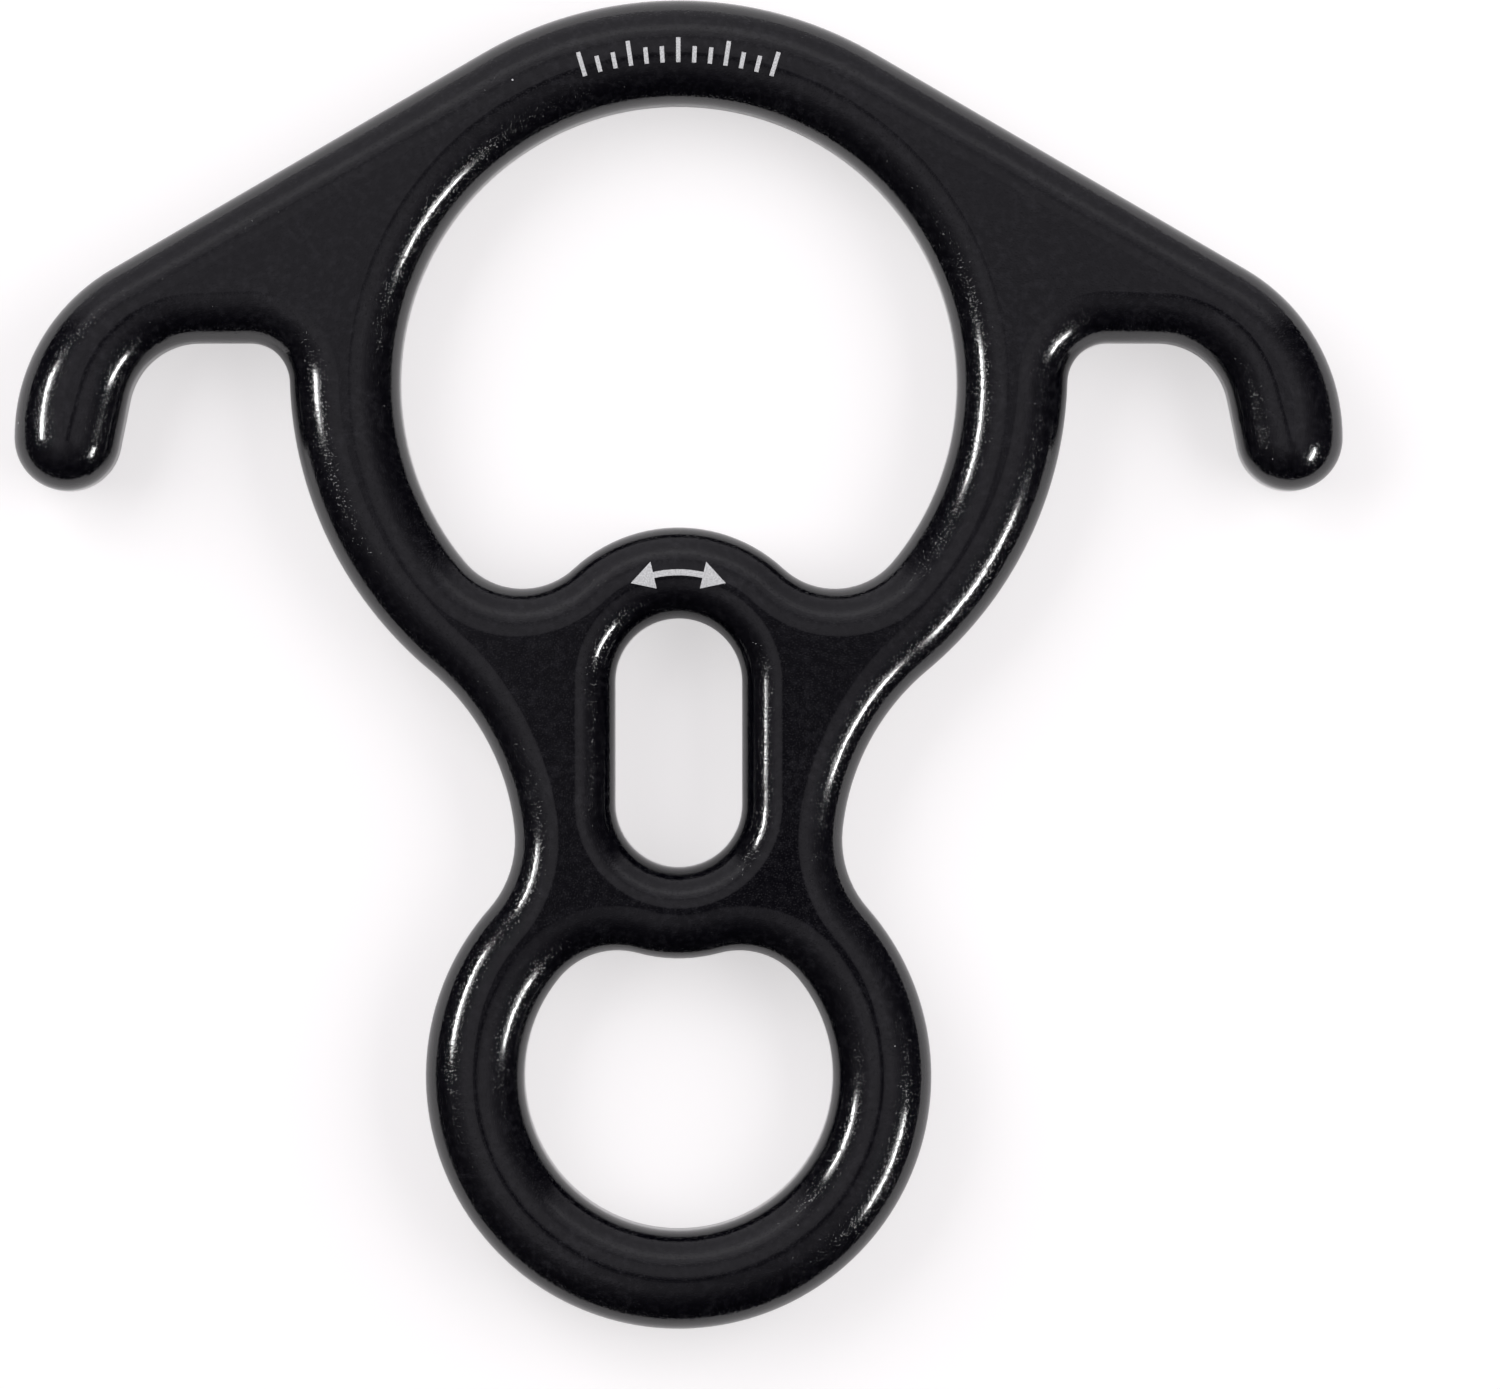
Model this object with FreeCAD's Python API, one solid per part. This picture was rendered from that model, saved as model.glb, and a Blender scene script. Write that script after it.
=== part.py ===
import FreeCAD, Part
import math
import os
from collections import namedtuple
from FreeCAD import Vector

# Rescue figure eight with bent ears, lying flat, in millimetres.
# X runs across the ears, Y from the small eye to the crown of the rope ring, Z through the bar.
# The origin is under the middle of the outline, on the surface that the figure eight lies on.

# Forged bar
THICKNESS = 13.0
EDGE_ROUND = 4.6

# Rope ring: one outer radius, with the crown set a little low and the sides a little high
RING_HOLE_RADIUS = 32.5
RING_WALL = 12.9
CROWN_DROP = 0.7
SIDE_RISE = 1.4

# Bent ears beside the ring, and the notch under each
EAR_WIDTH = 12.3
EAR_GAP = 19.8
EAR_TIP_DROP = 6.4
EAR_SHOULDER_RADIUS = 22.8
EAR_TAPER = 0.85
NOTCH_RISE = 4.8
NOTCH_INNER_RADIUS = 4.8
NOTCH_OUTER_RADIUS = 8.3

# Slot through the neck, in a boss that swells into the ring hole and the eye
SLOT_WIDTH = 14.8
SLOT_LENGTH = 29.1
BOSS_WALL = 10.6
BOSS_RISE_IN_RING = 15.7
BOSS_RISE_IN_EYE = 4.3
LOBE_RADIUS = 8.8

# Neck
WAIST_WIDTH = 38.2
WAIST_RADIUS = 12.2
NECK_RADIUS = 27.8

# Eye for a carabiner
EYE_HOLE_RADIUS = 18.0
EYE_WALL = 11.5

# Etched marks: index ticks on the crown and a two-headed arrow over the slot
MARK_DEPTH = 0.2
TICK_COUNT = 13
TICKS_PER_LONG = 3
TICK_WIDTH = 0.5
TICK_LENGTH = 1.9
LONG_TICK_LENGTH = 2.9
TICK_PITCH = 1.9
ARROW_SHAFT = 0.7
ARROW_HEAD_WIDTH = 3.2
ARROW_HEAD_LENGTH = 2.8
ARROW_SPAN = 11.4

# Shares and allowances
ROUND_LIMIT_SHARE = 0.45
OVERRUN = 1.0
TOUCH_GAP = 0.001

# A circle that the outline runs round: turn is 1 for anticlockwise and -1 for clockwise
Circle = namedtuple("Circle", "centre radius turn")

# Sizes that follow from the ones above, with the ring hole's centre as the plan's zero
RING_OUTER_RADIUS = RING_HOLE_RADIUS + RING_WALL
CROWN_WALL = RING_WALL - CROWN_DROP
HALF_WIDTH = RING_OUTER_RADIUS + EAR_GAP + EAR_WIDTH
SLOT_RADIUS = SLOT_WIDTH / 2
BOSS_RADIUS = SLOT_RADIUS + BOSS_WALL
EYE_OUTER_RADIUS = EYE_HOLE_RADIUS + EYE_WALL
SLOT_TOP_Y = BOSS_RISE_IN_RING - RING_HOLE_RADIUS - BOSS_RADIUS
SLOT_FOOT_Y = SLOT_TOP_Y - (SLOT_LENGTH - SLOT_WIDTH)
EYE_Y = SLOT_FOOT_Y - BOSS_RADIUS - EYE_HOLE_RADIUS + BOSS_RISE_IN_EYE
CROWN_Y = RING_OUTER_RADIUS - CROWN_DROP
FOOT_Y = EYE_Y - EYE_OUTER_RADIUS
MIDDLE_Y = (CROWN_Y + FOOT_Y) / 2


def circle(x, y, radius, turn):
    """A circle of the plan, by its centre, radius and the way that the outline turns on it."""
    return Circle(Vector(x, y, 0), radius, turn)


def mirrored(item):
    """The same circle on the other side of the centre line."""
    return Circle(Vector(-item.centre.x, item.centre.y, 0), item.radius, item.turn)


def crossing(first, first_reach, second, second_reach):
    """The point at given distances from two others, left of the way from the first to the second."""
    base = second - first
    span = base.Length
    along = (first_reach ** 2 - second_reach ** 2 + span ** 2) / (2 * span)
    aside = math.sqrt(max(first_reach ** 2 - along ** 2, 0))
    return first + base * (along / span) + Vector(-base.y, base.x, 0) * (aside / span)


def straight_run(first, second):
    """Where the outline leaves one circle and reaches the next, along their common tangent."""
    base = second.centre - first.centre
    lean = (second.turn * second.radius - first.turn * first.radius) / base.Length
    heading = math.atan2(base.y, base.x) - math.asin(max(-1, min(1, lean)))
    left = Vector(-math.sin(heading), math.cos(heading), 0)
    leave = first.centre - left * (first.turn * first.radius)
    reach = second.centre - left * (second.turn * second.radius)
    if leave.distanceToPoint(reach) < TOUCH_GAP:
        reach = leave
    return leave, reach


def arc_edge(item, start, end):
    """The arc of a circle from one point to another, the way that it turns."""
    from_angle = math.atan2(start.y - item.centre.y, start.x - item.centre.x)
    to_angle = math.atan2(end.y - item.centre.y, end.x - item.centre.x)
    sweep = (item.turn * (to_angle - from_angle)) % (2 * math.pi)
    mid_angle = from_angle + item.turn * sweep / 2
    middle = item.centre + Vector(math.cos(mid_angle), math.sin(mid_angle), 0) * item.radius
    return Part.Arc(start, middle, end).toShape()


def belt(circles):
    """A closed wire that runs round circles in turn, straight from each to the next."""
    following = circles[1:] + circles[:1]
    runs = [straight_run(item, after) for item, after in zip(circles, following)]
    edges = []
    for index, item in enumerate(circles):
        arrive = runs[index - 1][1]
        leave, reach = runs[index]
        edges.append(arc_edge(item, arrive, leave))
        if reach != leave:
            edges.append(Part.LineSegment(leave, reach).toShape())
    return Part.Wire(Part.__sortEdges__(edges))


def notch_circles():
    """The two corners of the notch, no larger than its mouth has room for."""
    ear_side = HALF_WIDTH - EAR_WIDTH - EAR_TAPER
    room = (ear_side - RING_OUTER_RADIUS) / (NOTCH_INNER_RADIUS + NOTCH_OUTER_RADIUS)
    fit = min(1, room)
    inner = NOTCH_INNER_RADIUS * fit
    outer = NOTCH_OUTER_RADIUS * fit
    inner_y = NOTCH_RISE - inner
    inner_x = math.sqrt((RING_OUTER_RADIUS + inner) ** 2 - (inner_y - SIDE_RISE) ** 2)
    return [circle(inner_x, inner_y, inner, -1), circle(ear_side - outer, NOTCH_RISE - outer, outer, -1)]


def ear_circles():
    """The round tip of the ear, and the wide shoulder that it ends."""
    tip = EAR_WIDTH / 2
    return [
        circle(HALF_WIDTH - tip, -EAR_TIP_DROP, tip, 1),
        circle(HALF_WIDTH - EAR_SHOULDER_RADIUS, -EAR_TIP_DROP, EAR_SHOULDER_RADIUS, 1),
    ]


def neck_circles():
    """The tight waist over the eye, and the wide hollow from it to the ring."""
    waist_x = WAIST_WIDTH / 2 + WAIST_RADIUS
    waist_y = EYE_Y + math.sqrt((EYE_OUTER_RADIUS + WAIST_RADIUS) ** 2 - waist_x ** 2)
    waist = circle(waist_x, waist_y, WAIST_RADIUS, -1)
    ring_side = Vector(0, SIDE_RISE, 0)
    hollow = crossing(ring_side, RING_OUTER_RADIUS + NECK_RADIUS, waist.centre, NECK_RADIUS - WAIST_RADIUS)
    return [waist, Circle(hollow, NECK_RADIUS, -1)]


def outer_wire():
    """The outline, anticlockwise from the eye up the right side and down the left."""
    eye = circle(0, EYE_Y, EYE_OUTER_RADIUS, 1)
    crown = circle(0, -CROWN_DROP, RING_OUTER_RADIUS, 1)
    ring_side = circle(0, SIDE_RISE, RING_OUTER_RADIUS, 1)
    right = neck_circles() + [ring_side] + notch_circles() + ear_circles()
    left = [mirrored(item) for item in reversed(right)]
    return belt([eye] + right + [crown] + left)


def bossed_wire(hole_radius, hole_y, boss_y):
    """A round hole with the slot's boss swelling into it, and a lobe on each side of the swelling."""
    hole = circle(0, hole_y, hole_radius, 1)
    boss = circle(0, boss_y, BOSS_RADIUS, -1)
    lobe_centre = crossing(hole.centre, hole_radius - LOBE_RADIUS, boss.centre, BOSS_RADIUS + LOBE_RADIUS)
    lobe = Circle(lobe_centre, LOBE_RADIUS, 1)
    return belt([hole, mirrored(lobe), boss, lobe])


def slot_wire():
    """The straight-sided slot with round ends."""
    return belt([circle(0, SLOT_FOOT_Y, SLOT_RADIUS, 1), circle(0, SLOT_TOP_Y, SLOT_RADIUS, 1)])


def edge_round():
    """The round along every edge, no larger than the thinnest wall carries."""
    slot_wall = (WAIST_WIDTH - SLOT_WIDTH) / 2
    walls = [THICKNESS, EAR_WIDTH, RING_WALL, CROWN_WALL, BOSS_WALL, slot_wall, EYE_WALL]
    return min(EDGE_ROUND, ROUND_LIMIT_SHARE * min(walls))


def plain_body():
    """The forging before it is marked: the plan drawn up to full thickness, every edge rounded."""
    wires = [
        outer_wire(),
        bossed_wire(RING_HOLE_RADIUS, 0, SLOT_TOP_Y),
        bossed_wire(EYE_HOLE_RADIUS, EYE_Y, SLOT_FOOT_Y),
        slot_wire(),
    ]
    slab = Part.Face(wires, "Part::FaceMakerBullseye").extrude(Vector(0, 0, THICKNESS))
    rims = [edge for edge in slab.Edges if edge.BoundBox.ZLength < TOUCH_GAP]
    return slab.makeFillet(edge_round(), rims)


def mark_prism(wire):
    """A mark's outline, from its floor in the metal to clear above the face."""
    face = Part.Face(wire)
    face.translate(Vector(0, 0, THICKNESS - MARK_DEPTH))
    return face.extrude(Vector(0, 0, MARK_DEPTH + OVERRUN))


def tick_prism(step):
    """One index tick, square to the crown, a number of steps from the centre line."""
    length = LONG_TICK_LENGTH if step % TICKS_PER_LONG == 0 else TICK_LENGTH
    foot_y = RING_HOLE_RADIUS + (CROWN_WALL - LONG_TICK_LENGTH) / 2
    corners = [
        Vector(-TICK_WIDTH / 2, foot_y, 0),
        Vector(TICK_WIDTH / 2, foot_y, 0),
        Vector(TICK_WIDTH / 2, foot_y + length, 0),
        Vector(-TICK_WIDTH / 2, foot_y + length, 0),
    ]
    prism = mark_prism(Part.makePolygon(corners + corners[:1]))
    turn = math.degrees(step * TICK_PITCH / (RING_HOLE_RADIUS + CROWN_WALL / 2))
    prism.rotate(Vector(0, 0, 0), Vector(0, 0, 1), -turn)
    return prism


def arrow_prism():
    """The two-headed arrow, bent round the top of the slot along the middle of its boss."""
    centre = Vector(0, SLOT_TOP_Y, 0)
    radius = SLOT_RADIUS + BOSS_WALL / 2
    tip_angle = ARROW_SPAN / 2 / radius
    neck_angle = (ARROW_SPAN / 2 - ARROW_HEAD_LENGTH) / radius

    def point(angle, offset):
        return centre + Vector(math.sin(angle), math.cos(angle), 0) * (radius + offset)

    def shaft_arc(offset, from_angle):
        return Part.Arc(point(from_angle, offset), point(0, offset), point(-from_angle, offset)).toShape()

    def head(side):
        neck = side * neck_angle
        corners = [
            point(neck, ARROW_SHAFT / 2),
            point(neck, ARROW_HEAD_WIDTH / 2),
            point(side * tip_angle, 0),
            point(neck, -ARROW_HEAD_WIDTH / 2),
            point(neck, -ARROW_SHAFT / 2),
        ]
        return [Part.LineSegment(a, b).toShape() for a, b in zip(corners, corners[1:])]

    edges = head(1) + head(-1)
    edges.append(shaft_arc(ARROW_SHAFT / 2, -neck_angle))
    edges.append(shaft_arc(-ARROW_SHAFT / 2, neck_angle))
    return mark_prism(Part.Wire(Part.__sortEdges__(edges)))


def save(shape, name):
    """Moves a finished sub-part to the model's origin and writes it."""
    shape.translate(Vector(0, -MIDDLE_Y, 0))
    shape.exportStep(f"parts/{name}.step")
    print(name, "solids", len(shape.Solids), "valid", shape.isValid(), "volume", round(shape.Volume, 1))


def main():
    os.makedirs("parts", exist_ok=True)
    body = plain_body()
    half = TICK_COUNT // 2
    ticks = [tick_prism(step) for step in range(-half, half + 1)]
    arrow = arrow_prism()
    tick_inlays = Part.makeCompound([body.common(prism) for prism in ticks])
    arrow_inlay = body.common(arrow)
    save(body.cut(ticks + [arrow]), "forged_body")
    save(tick_inlays, "crown_index_marks")
    save(arrow_inlay, "slot_arrow_mark")
    print("width", 2 * HALF_WIDTH, "length", CROWN_Y - FOOT_Y)


main()
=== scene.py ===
import math
from collections import namedtuple
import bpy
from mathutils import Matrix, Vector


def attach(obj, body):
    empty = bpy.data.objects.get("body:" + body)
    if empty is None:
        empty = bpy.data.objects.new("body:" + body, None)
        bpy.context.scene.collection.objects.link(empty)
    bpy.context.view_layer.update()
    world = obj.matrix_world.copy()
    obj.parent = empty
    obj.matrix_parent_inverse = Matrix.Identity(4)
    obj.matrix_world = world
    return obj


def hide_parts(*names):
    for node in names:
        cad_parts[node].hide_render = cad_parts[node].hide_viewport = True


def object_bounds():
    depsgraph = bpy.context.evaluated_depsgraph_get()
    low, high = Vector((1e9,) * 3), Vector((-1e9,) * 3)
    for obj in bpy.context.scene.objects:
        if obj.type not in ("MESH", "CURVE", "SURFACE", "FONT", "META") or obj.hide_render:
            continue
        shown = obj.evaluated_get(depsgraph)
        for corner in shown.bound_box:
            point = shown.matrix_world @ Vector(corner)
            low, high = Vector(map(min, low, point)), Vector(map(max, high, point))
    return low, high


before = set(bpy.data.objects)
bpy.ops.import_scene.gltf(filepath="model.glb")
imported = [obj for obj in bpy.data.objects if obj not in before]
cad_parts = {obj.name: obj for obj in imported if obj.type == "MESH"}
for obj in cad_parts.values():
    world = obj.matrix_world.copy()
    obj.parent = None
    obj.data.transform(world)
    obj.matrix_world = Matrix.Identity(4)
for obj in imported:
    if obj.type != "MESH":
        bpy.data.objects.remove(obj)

from types import SimpleNamespace

import bmesh
import bpy
from bpy.props import FloatProperty, FloatVectorProperty, IntProperty, PointerProperty
from mathutils import Matrix, Quaternion, Vector
from mathutils.bvhtree import BVHTree

bl_info = {
    "name": "Figure Eight Descender",
    "version": (1, 0, 0),
    "blender": (4, 5, 0),
    "location": "View3D > Sidebar > Descender",
    "description": "Builds the looks of a rescue figure eight with bent ears round its solid model",
    "category": "Object",
}

CAD_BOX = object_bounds()
MM = 0.001
UP = Vector((0, 0, 1))
BODY_NAME = "black_forging"

# A circle that an outline runs round: turn is 1 for anticlockwise and -1 for clockwise
Circle = namedtuple("Circle", "centre radius turn")
# What a sweep needs at each place: which side the metal is on, and the round there
Belt = namedtuple("Belt", "circles metal round_at")

# Millimetres: two outline points nearer than this are one point
TOUCH_GAP = 0.001
# Steps along an outline, in millimetres and in radians, and round each edge
LONGEST_STEP = 1.1
WIDEST_TURN = math.radians(5)
ROUND_SEGMENTS = 16
# The flat's border strip, as a share of the round's width
BORDER_SHARE = 0.012
# How deep an edge round is, as a share of its width
ROUND_DEPTH_SHARE = 0.8
# Radians: a point this far past the last one of a circle's turn is its first one
TURN_SLACK = 0.01
# Edges that turn further than this stay sharp in the shading
SHARP_TURN = math.radians(40)

# Millimetres from the ring's centre: where an outline's round goes from one width to the next
TIP_TO_BEND_Y = (-8, 1)
RING_TO_EAR_X = (46, 57)
NECK_TO_RING_Y = (-44, -28)
EYE_TO_NECK_Y = (-78, -64)
BOSS_TO_RING_X = (9, 25)
BOSS_TO_RING_Y = (-16, -8)
BOSS_TO_EYE_X = (3, 14)
BOSS_TO_EYE_Y = (-80, -74)

# Cells across and along an index tick, steps along the arrow's shaft, and cuts in its faces
TICK_CELLS = (2, 10)
SHAFT_STEPS = 16
ARROW_CUTS = 3


def size(name, millimetres, description):
    """A length property, with its default in millimetres."""
    return FloatProperty(name=name, description=description, default=millimetres * MM,
                         min=0, precision=5, subtype="DISTANCE", unit="LENGTH")


def shade(name, value, description):
    """A colour property, linear."""
    return FloatVectorProperty(name=name, description=description, default=value,
                               min=0, max=1, size=3, subtype="COLOR")


class DescenderSizes(bpy.types.PropertyGroup):
    """The forging's driving sizes, the same as the solid model's."""

    thickness: size("Thickness", 13.0, "Height of the bar between its two flat faces")
    ring_hole_radius: size("Ring hole radius", 32.5, "Radius of the rope ring's hole")
    ring_wall: size("Ring wall", 12.9, "Width of the rope ring's bar")
    crown_drop: size("Crown drop", 0.7, "How far the crown's outline is set low")
    side_rise: size("Side rise", 1.4, "How far the ring sides' outline is set high")
    ear_width: size("Ear width", 12.3, "Width of the ears' bar")
    ear_gap: size("Ear gap", 19.8, "Room between the ring and each ear")
    ear_tip_drop: size("Ear tip drop", 6.4, "How far the tips' centres are below the ring's")
    ear_shoulder_radius: size("Ear shoulder radius", 22.8, "Outer bend of the ears")
    ear_taper: size("Ear taper", 0.85, "Offset of the ears' inner side from parallel")
    notch_rise: size("Notch rise", 4.8, "Height of the notch's top above the ring's centre")
    notch_inner_radius: size("Notch inner radius", 4.8, "Notch corner beside the ring")
    notch_outer_radius: size("Notch outer radius", 8.3, "Notch corner beside the ear")
    slot_width: size("Slot width", 14.8, "Width of the slot through the neck")
    slot_length: size("Slot length", 29.1, "Length of the slot through the neck")
    boss_wall: size("Boss wall", 10.6, "Width of the bar round the slot's ends")
    boss_rise_in_ring: size("Boss rise in ring", 15.7, "Swelling of the boss into the ring hole")
    boss_rise_in_eye: size("Boss rise in eye", 4.3, "Swelling of the boss into the eye")
    lobe_radius: size("Lobe radius", 8.8, "Corners of the holes beside the boss")
    waist_width: size("Waist width", 38.2, "Width of the neck at its narrowest")
    waist_radius: size("Waist radius", 12.2, "Tight hollow over the eye")
    neck_radius: size("Neck radius", 27.8, "Wide hollow from the waist to the ring")
    eye_hole_radius: size("Eye hole radius", 18.0, "Radius of the carabiner eye's hole")
    eye_wall: size("Eye wall", 11.5, "Width of the carabiner eye's bar")
    round_in_tips: size("Round in tips", 6.0, "Width of the edge round at the ears' tips")
    round_in_bends: size("Round in bends", 5.5, "Width of the edge round in the ears' bends")
    round_in_ring: size("Round in ring", 5.85, "Width of the edge round on the rope ring")
    round_in_eye: size("Round in eye", 5.6, "Width of the edge round on the carabiner eye")
    round_in_neck: size("Round in neck", 5.2, "Width of the edge round on the neck and boss")
    round_in_slot: size("Round in slot", 4.7, "Width and depth of the edge round in the slot")
    mark_film: size("Mark film", 0.015, "How far the etched marks stand over the black coat")
    mark_depth: size("Mark depth", 0.06, "Height of the etched marks' own solids")
    tick_width: size("Tick width", 0.5, "Width of an index tick")
    tick_length: size("Tick length", 1.9, "Length of a short index tick")
    long_tick_length: size("Long tick length", 2.9, "Length of a long index tick")
    tick_pitch: size("Tick pitch", 1.9, "Distance between index ticks")
    arrow_shaft: size("Arrow shaft", 0.7, "Width of the arrow's shaft")
    arrow_head_width: size("Arrow head width", 3.2, "Width of the arrow's heads")
    arrow_head_length: size("Arrow head length", 2.8, "Length of the arrow's heads")
    arrow_span: size("Arrow span", 11.4, "Length of the arrow from tip to tip")
    tick_count: IntProperty(name="Tick count", description="Number of index ticks, an odd number",
                            default=13, min=1)
    ticks_per_long: IntProperty(name="Ticks per long", description="Every so many ticks is long",
                                default=3, min=1)


class DescenderFinish(bpy.types.PropertyGroup):
    """Colours and lights."""

    coat: shade("Coat", (0.0003, 0.0002, 0.0013), "Black anodised coat at its darkest")
    coat_worn: shade("Coat, rubbed", (0.0125, 0.0121, 0.0148), "Black anodised coat at its palest")
    metal: shade("Bare metal", (0.55, 0.55, 0.57), "Alloy that shows in the smallest nicks")
    etched: shade("Etched metal", (0.62, 0.62, 0.63), "Matt metal of the etched marks")
    floor: shade("Floor", (0.90, 0.90, 0.90), "Pale floor, in the light that it sends back")
    floor_seen: shade("Floor, seen", (0.46, 0.449, 0.453), "The floor's own share of its pale look")
    floor_mirrored: shade("Floor, mirrored", (1.0, 0.985, 0.99), "The floor as the gloss mirrors it")
    floor_glow: FloatProperty(name="Floor glow", description="Plain white's share of the floor's look",
                              default=0.60, min=0, max=1, subtype="FACTOR")
    mirrored_glow: FloatProperty(name="Mirrored glow", description="The same share where it is mirrored",
                                 default=0.15, min=0, max=1, subtype="FACTOR")
    strip_power: FloatProperty(name="Strip power", description="Power of each strip, for the gloss",
                               default=2.4, min=0, subtype="POWER", unit="POWER")
    veil_power: FloatProperty(name="Veil power", description="Power of the dim veil above each strip",
                              default=0.3, min=0, subtype="POWER", unit="POWER")
    soft_box_power: FloatProperty(name="Soft box power", description="Power of each soft box, for the floor",
                                  default=4.1, min=0, subtype="POWER", unit="POWER")


def in_mm(group):
    """The sizes in millimetres, in which the outline is worked out."""
    lengths = SimpleNamespace()
    for name in group.__annotations__:
        value = getattr(group, name)
        setattr(lengths, name, value if isinstance(value, int) else value / MM)
    lengths.face = lengths.thickness - lengths.mark_film - TOUCH_GAP
    lengths.ring_outer = lengths.ring_hole_radius + lengths.ring_wall
    lengths.crown_wall = lengths.ring_wall - lengths.crown_drop
    lengths.half_width = lengths.ring_outer + lengths.ear_gap + lengths.ear_width
    lengths.slot_radius = lengths.slot_width / 2
    lengths.boss_radius = lengths.slot_radius + lengths.boss_wall
    lengths.eye_outer = lengths.eye_hole_radius + lengths.eye_wall
    lengths.slot_top_y = lengths.boss_rise_in_ring - lengths.ring_hole_radius - lengths.boss_radius
    lengths.slot_foot_y = lengths.slot_top_y - (lengths.slot_length - lengths.slot_width)
    lengths.eye_y = (lengths.slot_foot_y - lengths.boss_radius - lengths.eye_hole_radius
                     + lengths.boss_rise_in_eye)
    crown_y = lengths.ring_outer - lengths.crown_drop
    lengths.middle_y = (crown_y + lengths.eye_y - lengths.eye_outer) / 2
    return lengths


# Outline


def circle(x, y, radius, turn):
    """A circle of the plan, by its centre, radius and the way that the outline turns on it."""
    return Circle(Vector((x, y, 0)), radius, turn)


def mirrored(item):
    """The same circle on the other side of the centre line."""
    return circle(-item.centre.x, item.centre.y, item.radius, item.turn)


def crossing(first, first_reach, second, second_reach):
    """The point at given distances from two others, left of the way from first to second."""
    base = second - first
    span = base.length
    along = (first_reach ** 2 - second_reach ** 2 + span ** 2) / (2 * span)
    aside = math.sqrt(max(first_reach ** 2 - along ** 2, 0))
    return first + base * (along / span) + Vector((-base.y, base.x, 0)) * (aside / span)


def straight_run(first, second):
    """Where the outline leaves one circle and reaches the next, along their common tangent."""
    base = second.centre - first.centre
    lean = (second.turn * second.radius - first.turn * first.radius) / base.length
    heading = math.atan2(base.y, base.x) - math.asin(max(-1, min(1, lean)))
    left = Vector((-math.sin(heading), math.cos(heading), 0))
    leave = first.centre - left * (first.turn * first.radius)
    reach = second.centre - left * (second.turn * second.radius)
    if (leave - reach).length < TOUCH_GAP:
        reach = leave
    return leave, reach


def outer_circles(mm):
    """The outline, anticlockwise from the eye up the right side and down the left."""
    waist_x = mm.waist_width / 2 + mm.waist_radius
    waist_y = mm.eye_y + math.sqrt((mm.eye_outer + mm.waist_radius) ** 2 - waist_x ** 2)
    waist = circle(waist_x, waist_y, mm.waist_radius, -1)
    ring_side = circle(0, mm.side_rise, mm.ring_outer, 1)
    hollow = Circle(crossing(ring_side.centre, mm.ring_outer + mm.neck_radius,
                             waist.centre, mm.neck_radius - mm.waist_radius), mm.neck_radius, -1)
    inner_y = mm.notch_rise - mm.notch_inner_radius
    inner_x = math.sqrt((mm.ring_outer + mm.notch_inner_radius) ** 2 - (inner_y - mm.side_rise) ** 2)
    ear_side = mm.half_width - mm.ear_width - mm.ear_taper
    right = [
        waist,
        hollow,
        ring_side,
        circle(inner_x, inner_y, mm.notch_inner_radius, -1),
        circle(ear_side - mm.notch_outer_radius, mm.notch_rise - mm.notch_outer_radius,
               mm.notch_outer_radius, -1),
        circle(mm.half_width - mm.ear_width / 2, -mm.ear_tip_drop, mm.ear_width / 2, 1),
        circle(mm.half_width - mm.ear_shoulder_radius, -mm.ear_tip_drop, mm.ear_shoulder_radius, 1),
    ]
    eye = circle(0, mm.eye_y, mm.eye_outer, 1)
    crown = circle(0, -mm.crown_drop, mm.ring_outer, 1)
    return [eye] + right + [crown] + [mirrored(item) for item in reversed(right)]


def bossed_circles(mm, hole_radius, hole_y, boss_y):
    """A round hole with the slot's boss swelling into it, and a lobe on each side of the swelling."""
    hole = circle(0, hole_y, hole_radius, 1)
    boss = circle(0, boss_y, mm.boss_radius, -1)
    lobe = Circle(crossing(hole.centre, hole_radius - mm.lobe_radius,
                           boss.centre, mm.boss_radius + mm.lobe_radius), mm.lobe_radius, 1)
    return [hole, mirrored(lobe), boss, lobe]


def slot_circles(mm):
    """The straight-sided slot with round ends."""
    return [circle(0, mm.slot_foot_y, mm.slot_radius, 1), circle(0, mm.slot_top_y, mm.slot_radius, 1)]


# Edge rounds: each is a quarter of an ellipse, and the width changes along the outline


def eased(value, low, high):
    """0 up to low, 1 from high, and a smooth rise between them."""
    share = max(0, min(1, (value - low) / (high - low)))
    return share * share * (3 - 2 * share)


def mixed(first, second, share):
    """A value between two others."""
    return first + (second - first) * share


def rounds(mm):
    """The width and depth of the round at any point of each outline."""

    def outer(foot):
        ear = mixed(mm.round_in_tips, mm.round_in_bends, eased(foot.y, *TIP_TO_BEND_Y))
        ring = mixed(mm.round_in_ring, ear, eased(abs(foot.x), *RING_TO_EAR_X))
        neck = mixed(mm.round_in_neck, ring, eased(foot.y, *NECK_TO_RING_Y))
        width = mixed(mm.round_in_eye, neck, eased(foot.y, *EYE_TO_NECK_Y))
        return width, width * ROUND_DEPTH_SHARE

    def ring_hole(foot):
        beside = max(eased(abs(foot.x), *BOSS_TO_RING_X), eased(foot.y, *BOSS_TO_RING_Y))
        width = mixed(mm.round_in_neck, mm.round_in_ring, beside)
        return width, width * ROUND_DEPTH_SHARE

    def eye_hole(foot):
        beside = max(eased(abs(foot.x), *BOSS_TO_EYE_X), 1 - eased(foot.y, *BOSS_TO_EYE_Y))
        width = mixed(mm.round_in_neck, mm.round_in_eye, beside)
        return width, width * ROUND_DEPTH_SHARE

    def slot(foot):
        return mm.round_in_slot, mm.round_in_slot

    return outer, ring_hole, eye_hole, slot


# Sweeps


def verts_in(geometry):
    """The vertices among what an operator gives back."""
    return [part for part in geometry if isinstance(part, bmesh.types.BMVert)]


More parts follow.
